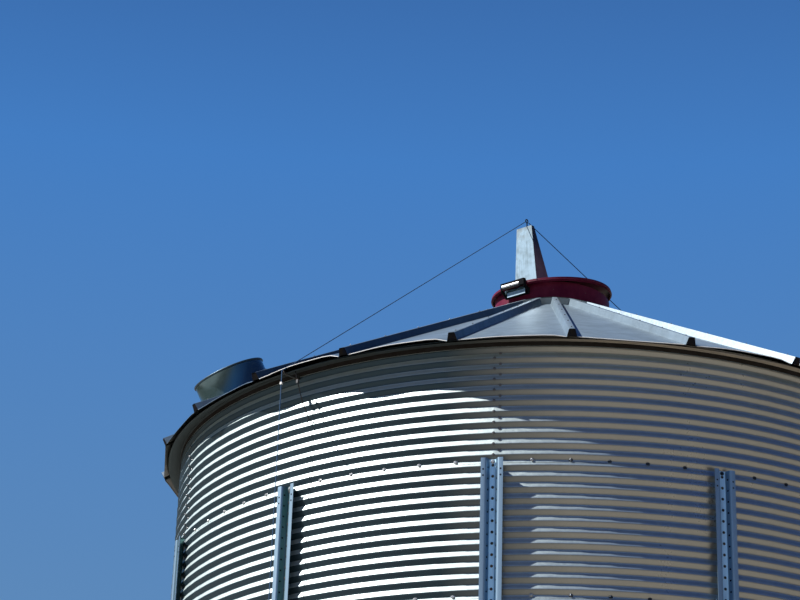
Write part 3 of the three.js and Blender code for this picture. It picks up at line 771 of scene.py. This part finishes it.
PANEL_STATIONS = 10
EAVE_LIP = 0.0035
DIMPLE = 0.0016
DIMPLE_SCALE = 1.7
EAVE_ROUND = ((0.0, 1.6), (0.0, 1.0), (0.001, 0.55), (0.003, 0.22), (0.006, 0.05))
EAVE_ROUND_END = 0.01
BOW_REACH = 0.9
BOW_FRONT = {21: 0.012, 22: 0.028, 23: 0.026, 0: 0.014, 1: 0.0, 2: 0.022, 3: 0.01}
BOW_SKEW = 1.5
BOW_FADE = 1.5
BOW_FLATNESS = 4
BOW_OTHER = (0.002, 0.012)


def panel_bow(panel, r, share):
    """How far a panel's lower edge is bent up off the straight line between its ribs."""
    height = BOW_FRONT.get(panel)
    if height is None:
        height = random.Random(panel).uniform(*BOW_OTHER)
    fade = max(0.0, 1 - (EAVE_R - r) / BOW_REACH)
    return height * fade ** BOW_FADE * (1 - abs(2 * share ** BOW_SKEW - 1) ** BOW_FLATNESS)


def rib_outline():
    """Top hat of a rib with rounded corners, as (side, height) from left to right."""
    right = [(RIB_HALF_TOP, RIB_HEIGHT), (RIB_HALF_BASE, 0), (RIB_HALF_BASE + RIB_FOOT, 0)]
    left = [(-side, height) for side, height in reversed(right)]
    return rounded(left + right, RIB_CORNER, 2)


def roof_stations(azimuth):
    """Across two panels and the ribs on their left.

    Each station has the rib's azimuth, the side and height of the upper face, those of the lower
    face, and on a flat its share of the way to the next rib.
    """
    stations = []
    hat = rib_outline()
    under = offset(hat, -ROOF_SHEET)
    for rib in (azimuth, azimuth + RIB_STEP):
        for (side, height), (low_side, low_height) in zip(hat, under):
            stations.append((rib, side, height, low_side, low_height, 0.0))
        for k in range(1, PANEL_STATIONS):
            t = k / PANEL_STATIONS
            stations.append((rib, None, 0.0, None, -ROOF_SHEET, t))
    return stations


def panel_point(rib, r, share, height):
    """On the flat between a rib and the next."""
    edge = RIB_HALF_BASE + RIB_FOOT
    left = roof_point(rib, r, edge, height)
    right = roof_point(rib + RIB_STEP, r, -edge, height)
    point = left.lerp(right, share)
    bulge = noise.noise(point * DIMPLE_SCALE)
    point.z += DIMPLE * bulge * math.sin(math.pi * share)
    panel = round((rib - FIRST_RIB) / RIB_STEP) % RIBS
    point.z += panel_bow(panel, r, share)
    return point


SKIN_BACK = ROOF_SHEET * 1.5
FLAT_BELOW = 0.004
ROOF_SHARP = 28.0


def add_roof():
    """Two panels and their ribs for each node, as one closed sheet with a rounded lower edge."""
    for pair in range(RIBS // 2):
        azimuth = FIRST_RIB + 2 * pair * RIB_STEP
        stations = roof_stations(azimuth)
        end = (azimuth + 2 * RIB_STEP, -(RIB_HALF_BASE + RIB_FOOT + RIB_SLACK))

        def chain(r, top, drop=0.0):
            points = []
            for rib, side, height, low_side, low_height, share in stations:
                if side is None:
                    point = panel_point(rib, r, share, height if top else low_height)
                    flat = 1.0
                else:
                    chosen = (side, height) if top else (low_side, low_height)
                    point = roof_point(rib, r, *chosen)
                    flat = max(0.0, 1 - height / FLAT_BELOW)
                point.z -= drop * flat
                points.append(point)
            last = roof_point(end[0], r, end[1], 0.0 if top else -ROOF_SHEET)
            last.z -= drop
            points.append(last)
            return points

        radii = [EAVE_R + (PEAK_R - EAVE_R) * k / ROOF_ROWS for k in range(ROOF_ROWS + 1)]
        over = [chain(EAVE_R - back, True, EAVE_LIP * drop) for back, drop in EAVE_ROUND]
        over += [chain(r, True) for r in [EAVE_R - EAVE_ROUND_END] + radii[1:]]
        below = [chain(EAVE_R - SKIN_BACK, False, EAVE_LIP), chain(EAVE_R - SKIN_BACK, False)]
        below += [chain(r, False) for r in radii[1:]]
        skin = Skin()
        count = len(over[0])
        rows = over + below[::-1]
        points = [p for row in rows for p in row]
        faces = []
        for row in range(len(rows)):
            following = (row + 1) % len(rows)
            for i in range(count - 1):
                a, b = row * count + i, row * count + i + 1
                c, d = following * count + i + 1, following * count + i
                faces.append((b, a, d, c))
        half = len(over)
        total = len(rows)
        for row in range(half - 1):
            a, b = row * count, (row + 1) * count
            c, d = (total - 2 - row) * count, (total - 1 - row) * count
            faces.append((a, d, c, b))
            faces.append((a + count - 1, b + count - 1, c + count - 1, d + count - 1))
        skin.add(points, faces)
        name = f"roof_sheets_{pair + 1}"
        skin.piece(name, ROOF, "roof_sheet", [f"roof_panels_{pair + 1}"], ROOF_SHARP)


EDGE_R = 0.0026
EDGE_SIDES = 6
HIGHLIGHT_PANELS = (22, 23, 0, 1, 2, 3)


def add_panel_edge_highlights():
    """Painted highlight: a bright tube along the eave edge of the front panels."""
    skin = Skin()
    for k in HIGHLIGHT_PANELS:
        rib = FIRST_RIB + k * RIB_STEP
        shares = [step / PANEL_STATIONS for step in range(PANEL_STATIONS + 1)]
        add_tube(skin, [panel_point(rib, EAVE_R, share, -EDGE_R) for share in shares], EDGE_R, EDGE_SIDES)
    skin.piece("panel_edge_highlights", WHITE, "roof_sheet")


EAVE_SEGMENTS = 216
EAVE_CLEARANCE = 0.005
EAVE_REACH = 0.084
EAVE_SKIRT = 0.054
EAVE_STEP = 0.026
EAVE_SHEET = 0.005
EAVE_FILLET = 0.008
PANEL_FACTOR = 1 / math.cos(math.radians(RIB_STEP / 2))
SHEET_DROP = 0.006 / math.cos(ROOF_SLOPE)


def under_panel(distance):
    """Height of the underside of a roof panel's middle line, at a distance from the axis."""
    return EAVE_Z + (EAVE_R - distance * PANEL_FACTOR) * math.tan(ROOF_SLOPE) - SHEET_DROP


def add_eave():
    """Eave angle: its flange and upper half in the eave finish, the lower half set back and near black as
    painted shade.
    """
    wall = CREST_R + TOUCH
    flange = CREST_R + EAVE_REACH
    top = under_panel(wall) - EAVE_CLEARANCE
    lip = under_panel(flange) - EAVE_CLEARANCE
    face = wall + EAVE_SHEET
    back = wall + EAVE_SHEET * 0.5
    upper = [(wall, top), (flange, lip), (flange, lip - EAVE_SHEET), (face, top - EAVE_FILLET)]
    upper += [(face, top - EAVE_STEP), (wall, top - EAVE_STEP)]
    lower = [(wall, top - EAVE_STEP), (back, top - EAVE_STEP)]
    lower += [(back, top - EAVE_SKIRT), (wall, top - EAVE_SKIRT)]
    for name, outline, material, replaced in (
        ("eave_angle", upper, EAVE, ["eave_ring"]),
        ("eave_skirt", lower, EAVE_SKIRT_SHADE, []),
    ):
        skin = Skin()
        turns = [360 * k / EAVE_SEGMENTS for k in range(EAVE_SEGMENTS)]
        rows = [[polar(turn, r, z) for turn in turns] for r, z in outline]
        skin.loops(rows + rows[:1], capped=False)
        skin.piece(name, material, "wall_sheet", replaced)


RIB_BOLTS = 6
RIB_BOLT_SCALE = 0.55
FIRST_BOLT_BACK = 0.1
RIB_BOLT_RUN = EAVE_R - 0.75
CLOSURE_INSET = 0.002
CLOSURE_GAP = 0.001
END_SHADE_DEPTHS = (0.0005, 0.006)
END_SHADE_FIT = (0.97, 0.93)


def on_rib(azimuth, r):
    """Frame on top of a rib, with Z square to the slope."""
    point = roof_point(azimuth, r, 0.0, RIB_HEIGHT)
    return Matrix.Translation(point) @ front(azimuth) @ Matrix.Rotation(ROOF_SLOPE, 4, "X")


def add_roof_trim():
    """Bolts on the ribs, closures between the ribs round the collar, and near-black blocks as painted shade
    in the open ends of the ribs.
    """
    bolts = Skin()
    closures = Skin()
    for k in range(RIBS):
        azimuth = FIRST_RIB + k * RIB_STEP
        for step in range(RIB_BOLTS):
            r = EAVE_R - FIRST_BOLT_BACK - RIB_BOLT_RUN * step / (RIB_BOLTS - 1)
            add_bolt(bolts, on_rib(azimuth, r), RIB_BOLT_SCALE)
        side = RIB_HALF_BASE - CLOSURE_INSET
        high = RIB_HEIGHT - CLOSURE_GAP
        corners = []
        for r in (CLOSURE_R, CLOSURE_R - ROOF_SHEET):
            loop = [
                roof_point(azimuth, r, side, CLOSURE_GAP),
                roof_point(azimuth + RIB_STEP, r, -side, CLOSURE_GAP),
                roof_point(azimuth + RIB_STEP, r, -RIB_HALF_TOP, high),
                roof_point(azimuth, r, RIB_HALF_TOP, high),
            ]
            corners.append(loop)
        closures.loops(corners[::-1])
    bolts.piece("rib_bolts", BOLTS, "roof_sheet")
    # Painted shade: a thin near-black block inside the open end of each rib
    end_shades = Skin()
    half, top, height = RIB_HALF_BASE * END_SHADE_FIT[0], RIB_HALF_TOP * END_SHADE_FIT[0], RIB_HEIGHT * END_SHADE_FIT[1]
    corners = ((-half, 0.0), (half, 0.0), (top, height), (-top, height))
    for k in range(RIBS):
        azimuth = FIRST_RIB + k * RIB_STEP
        ends = [EAVE_R - back for back in END_SHADE_DEPTHS]
        end_shades.loops([[roof_point(azimuth, r, *corner) for corner in corners] for r in ends])
    end_shades.piece("rib_end_shades", HOLLOW_SHADE, "dark_fittings")
    closures.piece("rib_closures", CLOSURE, "roof_sheet")


def lid_frame():
    """Frame of everything on the lid, with the hinge line as its X axis."""
    place = front(LEVER_AZIMUTH) @ Matrix.Translation((0, -HINGE_R, HINGE_Z))
    return place @ Matrix.Rotation(LID_TILT, 4, "X")


LID_SEGMENTS = 96
LID_WARP = 0.012
LID_SHARP = 40.0
CROWN = ((0.0, 0.006), (0.2, 0.004), (0.33, 0.001), (0.4, 0.0))
RIM_ROUND = ((-0.005, 0.0), (-0.001, -0.0015), (0.0, -0.005))
BEAD_R = 0.0035
BEAD_TURNS = (0, 0.8, 1.57, 2.4, 3.1)


def lid_warp(x, y):
    """The sheet is bent up a little at its right side."""
    return LID_WARP * max(0.0, (x * 0.9 + y * 0.35) / LID_R) ** 2


def add_lid():
    """The lid's sheet with a bead round its rim, its hinge leaf and the hinge's knuckles."""
    place = lid_frame()
    side, centre = LID_SHIFT[0], HINGE_R - LID_SHIFT[1]
    low = LID_TOP - LID_RIM
    lip = LID_TOP - LID_LIP
    under = LID_TOP - LID_SHEET
    outline = [(r, LID_TOP + rise) for r, rise in CROWN]
    outline += [(LID_R + out, LID_TOP + rise) for out, rise in RIM_ROUND]
    outline += [(LID_R + BEAD_R * math.sin(t), low + BEAD_R * (1 + math.cos(t))) for t in BEAD_TURNS]
    outline += [(LIP_R, low + 0.001), (LIP_R, lip), (LIP_R - LID_SHEET, lip)]
    outline += [(LIP_R - LID_SHEET, under), (0.0, under)]
    loops = []
    for r, z in outline:
        loop = []
        for k in range(LID_SEGMENTS):
            turn = 2 * math.pi * k / LID_SEGMENTS
            x, y = r * math.cos(turn), r * math.sin(turn)
            loop.append(place @ Vector((side + x, centre + y, z + lid_warp(x, y))))
        loops.append(loop)
    lid = Skin()
    lid.loops(loops)
    lid.piece("lid_sheet", RED, "red_paint", ["fill_lid"], LID_SHARP)
    leaf = Skin()
    reach = centre - LIP_R
    for size, middle in (
        ((2 * EAR_HALF_SPAN - 0.018, reach + KNUCKLE_R, 0.006), (0, reach / 2, LID_TOP - 0.001)),
        ((2 * KNUCKLE_HALF_LENGTH, 0.006, LID_TOP), (0, 0.002, LID_TOP / 2)),
        ((2 * EAR_HALF_SPAN, 0.012, 0.012), (0, -0.002, LID_TOP + 0.001)),
        ((0.045, 0.03, 0.044), (EAR_HALF_SPAN - 0.02, -0.002, 0.0)),
        ((2 * EAR_HALF_SPAN - 0.02, 0.004, 0.015), (-0.004, -0.006, -0.019)),
    ):
        add_box(leaf, place, size, middle)
    # Painted shade: the leaf, its edges and the strip below the knuckles are near black
    leaf.piece("lid_leaf", FITTING_SHADE, "dark_fittings")
    knuckle = Skin()
    for ends in KNUCKLES:
        add_tube(knuckle, [place @ Vector((x, 0, 0)) for x in ends], KNUCKLE_R, KNUCKLE_SIDES)
    knuckle.piece("lid_knuckle", WHITE, "lever_steel")


APRON = (7.75, 7.785)
APRON_R = 0.444
APRON_MARGIN = 0.007
PLATE = (7.722, 7.758)
PLATE_R = 0.456
PLATE_SIDES = (-0.066, 0.09)
FACE_SHEET = 0.002


def add_hinge_faces():
    """Bright plate on the collar and, above it, an apron in painted shade, both between the ears of the
    hinge.
    """
    turn = front(LEVER_AZIMUTH)
    plate = Skin()
    size = (PLATE_SIDES[1] - PLATE_SIDES[0], FACE_SHEET, PLATE[1] - PLATE[0])
    add_box(plate, turn, size, (sum(PLATE_SIDES) / 2, -PLATE_R, sum(PLATE) / 2))
    plate.piece("hinge_plate", LEVER, "lever_steel")
    apron = Skin()
    size = (2 * (EAR_HALF_SPAN - APRON_MARGIN), FACE_SHEET, APRON[1] - APRON[0])
    add_box(apron, turn, size, (0, -APRON_R, sum(APRON) / 2))
    apron.piece("hinge_apron", VENT, "vent_sheet")


LEVER_STATIONS = (0.0, 0.25, 0.5, 0.75, 1.0)
LEVER_SKIN = 0.003
FLANGE_GAP = 0.0005


def lever_web(z):
    """How far back the lever's web stands at a height, in the lid's frame."""
    return LEVER_BACK + LEVER_SET_BACK * (z - LEVER_FOOT_Z) / LEVER_HEIGHT


def add_lever():
    """The bright web and the dark flanges of the lever, each a tapered sheet."""
    place = lid_frame() @ Matrix.Translation((LEVER_SIDE, 0, 0))
    stations = []
    for t in LEVER_STATIONS:
        z = LEVER_FOOT_Z + LEVER_HEIGHT * t
        half = LEVER_FOOT[0] + (LEVER_HEAD[0] - LEVER_FOOT[0]) * t
        depth = LEVER_FOOT[1] + (LEVER_HEAD[1] - LEVER_FOOT[1]) * t
        stations.append((z, half, depth, lever_web(z)))
    web = Skin()
    rows = []
    for z, half, depth, y in stations:
        corners = ((-half, y), (half, y), (half, y + LEVER_SKIN), (-half, y + LEVER_SKIN))
        rows.append([place @ Vector((x, v, z)) for x, v in corners])
    web.loops(rows)
    web.piece("lever_web", LEVER, "lever_steel", ["lid_lever"])
    flanges = Skin()
    for side in (-1, 1):
        rows = []
        for z, half, depth, y in stations:
            x = side * half
            inner = side * (half - LEVER_SKIN)
            near, far = y + FLANGE_GAP, y + depth
            corners = ((x, near), (x, far), (inner, far), (inner, near))
            if side > 0:
                corners = corners[::-1]
            rows.append([place @ Vector((u, v, z)) for u, v in corners])
        flanges.loops(rows)
    flanges.piece("lever_flanges", FLANGE, "lever_steel")


EYE_RISE = 0.052
EYE_R = 0.013
EYE_SEGMENTS = 16
EYE_WIRE = 0.0045
EYE_BACK = 0.017
SHANK_R = EYE_WIRE + 0.001
SHANK_TOP = 0.012
SHANK_LENGTH = 0.13
NUT_DROP = 0.075
NUT_SIZE = (0.016, 0.03, 0.016)


def add_eye():
    """Eye bolt through the lever's head, with a nut on top of the web."""
    place = lid_frame()
    z = LEVER_FOOT_Z + LEVER_HEIGHT + EYE_RISE
    y = lever_web(z) + LEVER_SHEET + TOUCH + EYE_BACK
    centre = Vector((0, y, z))
    skin = Skin()
    turns = [2 * math.pi * k / EYE_SEGMENTS for k in range(EYE_SEGMENTS + 1)]
    ring = [place @ (centre + EYE_R * Vector((0, math.sin(t), math.cos(t)))) for t in turns]
    add_tube(skin, ring, EYE_WIRE)
    shank = [place @ (centre - Vector((0, 0, drop))) for drop in (SHANK_LENGTH, SHANK_TOP)]
    add_tube(skin, shank, SHANK_R)
    add_box(skin, place, NUT_SIZE, (0, y - 0.008, z - NUT_DROP))
    skin.piece("eye_bolt", EYE_SHADE, "dark_fittings", ["lever_eye"])


VENT_SEGMENTS = 72
VENT_DRUM = ((0.025, 0.0005), (0.025, 0.004), (0.003, 0.005), (0.0, 0.008))
VENT_DRUM += ((0.0, 0.075), (0.0025, 0.079), (0.0, 0.083), (0.0, VENT_HEIGHT - 0.012))
VENT_DRUM += ((-0.002, VENT_HEIGHT - 0.012), (-0.002, 0.0005))
CAP_TOP = ((0.0, 0.016), (0.12, 0.012), (VENT_R - 0.006, 0.004))
CAP_UNDER = ((VENT_R - 0.004, -0.012), (0.0, -0.004))
CAP_BEAD = (0.004, 0.006)
CAP_BEAD_STEPS = 8


def add_vent():
    """Drum of the round vent with a rib pressed in it, and its cap with a rolled rim."""
    tilt = math.atan(math.tan(ROOF_SLOPE) * PANEL_FACTOR)
    seat = EAVE_Z + (EAVE_R - VENT_DISTANCE * PANEL_FACTOR) * math.tan(ROOF_SLOPE)
    place = front(VENT_AZIMUTH) @ Matrix.Translation((0, -VENT_DISTANCE, seat))
    place @= Matrix.Rotation(tilt, 4, "X")
    body = Skin()
    add_lathe(body, place, [(VENT_R + out, z) for out, z in VENT_DRUM], VENT_SEGMENTS)
    body.piece("vent_drum", VENT, "vent_sheet", ["vent_body"])
    cap = Skin()
    out, up = CAP_BEAD
    bead = []
    for k in range(CAP_BEAD_STEPS + 1):
        turn = math.pi * k / CAP_BEAD_STEPS
        bead.append((VENT_R + out + out * math.sin(turn), up * math.cos(turn) - out))
    outline = [(r, VENT_HEIGHT + rise) for r, rise in (*CAP_TOP, *bead, *CAP_UNDER)]
    add_lathe(cap, place, outline, VENT_SEGMENTS)
    cap.piece("vent_lid", VENT_CAP_SHADE, "vent_sheet", ["vent_cap"])


CABLE_AZIMUTH = -29.65
CABLE_DROP_R = 2.7473
CLIP_Z = 6.318
HOOK_TOP = (-27.9, 2.69, 6.33)
CLAMP_SIZE = (0.014, 0.014, 0.012)
HOOK_NUT_SIZE = (0.014, 0.022, 0.014)


def add_clips():
    """Clamp on the open cable below its roller, and the nut of the bent wire."""
    clamp = Skin()
    add_box(clamp, outward(CABLE_AZIMUTH, CABLE_DROP_R, CLIP_Z), CLAMP_SIZE, (0, 0, 0))
    clamp.piece("cable_clamp", WHITE, "lever_steel")
    nut = Skin()
    add_box(nut, outward(*HOOK_TOP), HOOK_NUT_SIZE, (0, 0, 0))
    nut.piece("hook_nut", BOLTS, "dark_fittings")


def dress_nodes():
    """The nodes whose own shape is right get their finish."""
    # lid_hinge and eave_hook take near black as painted shade, the cables a painted sky reflection
    finishes = {
        "base_ring": (WALL, "wall_sheet"),
        "peak_ring": (EAVE, "wall_sheet"),
        "fill_collar": (RED, "red_paint"),
        "lid_hinge": (FITTING_SHADE, "dark_fittings"),
        "open_cable": (ROPE, "cable_wire"),
        "close_cable": (ROPE, "cable_wire"),
        "open_cable_guide": (DARK, "dark_fittings"),
        "close_cable_guide": (DARK, "dark_fittings"),
        "open_cable_cleat": (DARK, "dark_fittings"),
        "close_cable_cleat": (DARK, "dark_fittings"),
        "eave_hook": (FITTING_SHADE, "dark_fittings"),
    }
    for name, (material, slot) in finishes.items():
        node = nodes[name]
        node.data.materials.clear()
        node.data.materials.append(material)


FLOOR_HALF = 60.0
FLOOR_COLOUR = (0.3, 0.275, 0.235, 1.0)


def add_stage():
    """A plain pale floor."""
    mesh = bpy.data.meshes.new("floor")
    corners = [(x * FLOOR_HALF, y * FLOOR_HALF, 0) for x, y in ((-1, -1), (1, -1), (1, 1), (-1, 1))]
    mesh.from_pydata(corners, [], [(0, 1, 2, 3)])
    finish = Finish("floor", 0.0, 0.9)
    finish.shader.inputs["Base Color"].default_value = FLOOR_COLOUR
    mesh.materials.append(finish.material)
    add_object("floor", mesh)


SKY = ((0.0, (0.1, 0.09, 0.075)), (0.56, (0.24, 0.22, 0.18)), (0.61, (0.12, 0.26, 0.48)))
SKY += ((0.73, (0.057, 0.205, 0.54)), (0.82, (0.022, 0.065, 0.22)), (1.0, (0.005, 0.014, 0.07)))
SIDE_TINTS = ((0.0, (0.5, 0.7, 0.6)), (0.28, UNTINTED), (0.68, UNTINTED), (1.0, (0.35, 0.4, 0.5)))
SKY_STRENGTH = 1.0
KEY_IRRADIANCE = 10.5
KEY_ANGLE = math.radians(0.7)
KEY_PLACE = 40.0
KEY_COLOUR = (1.0, 0.96, 0.91)


def add_key():
    """One strong light from the left, as far away as the sun."""
    light = bpy.data.lights.new("key", "SUN")
    light.energy = KEY_IRRADIANCE
    light.angle = KEY_ANGLE
    light.color = KEY_COLOUR
    lamp = add_object("key", light)
    height = math.radians(SUN_HEIGHT)
    away = polar(SUN_AZIMUTH, KEY_PLACE * math.cos(height), KEY_PLACE * math.sin(height))
    lamp.location = away
    lamp.rotation_euler = away.to_track_quat("Z", "Y").to_euler()


def add_light():
    """Sky from pale to deep blue by height, tinted by side, and the key."""
    world = bpy.data.worlds.new("studio")
    bpy.context.scene.world = world
    world.use_nodes = True
    tree = world.node_tree

    def coloured(coordinate, values):
        """Colour by one coordinate of the direction, from -1 to 1."""
        along = tree.nodes.new("ShaderNodeMapRange")
        along.inputs["From Min"].default_value = -1.0
        ramp = tree.nodes.new("ShaderNodeValToRGB")
        stops = ramp.color_ramp.elements
        while len(stops) < len(values):
            stops.new(0.5)
        for stop, (position, colour) in zip(stops, values):
            stop.position = position
            stop.color = (*colour, 1.0)
        tree.links.new(coordinate, along.inputs["Value"])
        tree.links.new(along.outputs["Result"], ramp.inputs["Fac"])
        return ramp.outputs["Color"]

    split = tree.nodes.new("ShaderNodeSeparateXYZ")
    direction = tree.nodes.new("ShaderNodeTexCoord").outputs["Generated"]
    tree.links.new(direction, split.inputs["Vector"])
    tint = tree.nodes.new("ShaderNodeMix")
    tint.data_type = "RGBA"
    tint.blend_type = "MULTIPLY"
    tint.inputs["Factor"].default_value = 1.0
    tree.links.new(coloured(split.outputs["Z"], SKY), tint.inputs[6])
    tree.links.new(coloured(split.outputs["X"], SIDE_TINTS), tint.inputs[7])
    background = tree.nodes["Background"]
    tree.links.new(tint.outputs[2], background.inputs["Color"])
    background.inputs["Strength"].default_value = SKY_STRENGTH
    add_key()
    bpy.context.scene.view_settings.view_transform = "Standard"


def add_camera():
    """The photo's own camera."""
    forward = Vector((
        math.sin(CAMERA_YAW) * math.cos(CAMERA_PITCH),
        math.cos(CAMERA_YAW) * math.cos(CAMERA_PITCH),
        math.sin(CAMERA_PITCH),
    ))
    level = Vector((math.cos(CAMERA_YAW), -math.sin(CAMERA_YAW), 0.0))
    upright = level.cross(forward)
    right = level * math.cos(CAMERA_ROLL) + upright * math.sin(CAMERA_ROLL)
    up = upright * math.cos(CAMERA_ROLL) - level * math.sin(CAMERA_ROLL)
    turn = Matrix((right, up, -forward)).transposed().to_4x4()
    data = bpy.data.cameras.new("camera")
    data.sensor_fit = "HORIZONTAL"
    data.sensor_width = SENSOR
    data.lens = LENS
    data.clip_end = CLIP_END
    camera = add_object("camera", data)
    camera.matrix_world = Matrix.Translation(CAMERA_PLACE) @ turn
    bpy.context.scene.camera = camera


add_camera()
add_light()
add_stage()
add_wall()
add_wall_bolts()
add_stiffeners()
add_roof()
add_roof_trim()
add_panel_edge_highlights()
add_eave()
add_lid()
add_hinge_faces()
add_lever()
add_eye()
add_vent()
add_clips()
dress_nodes()
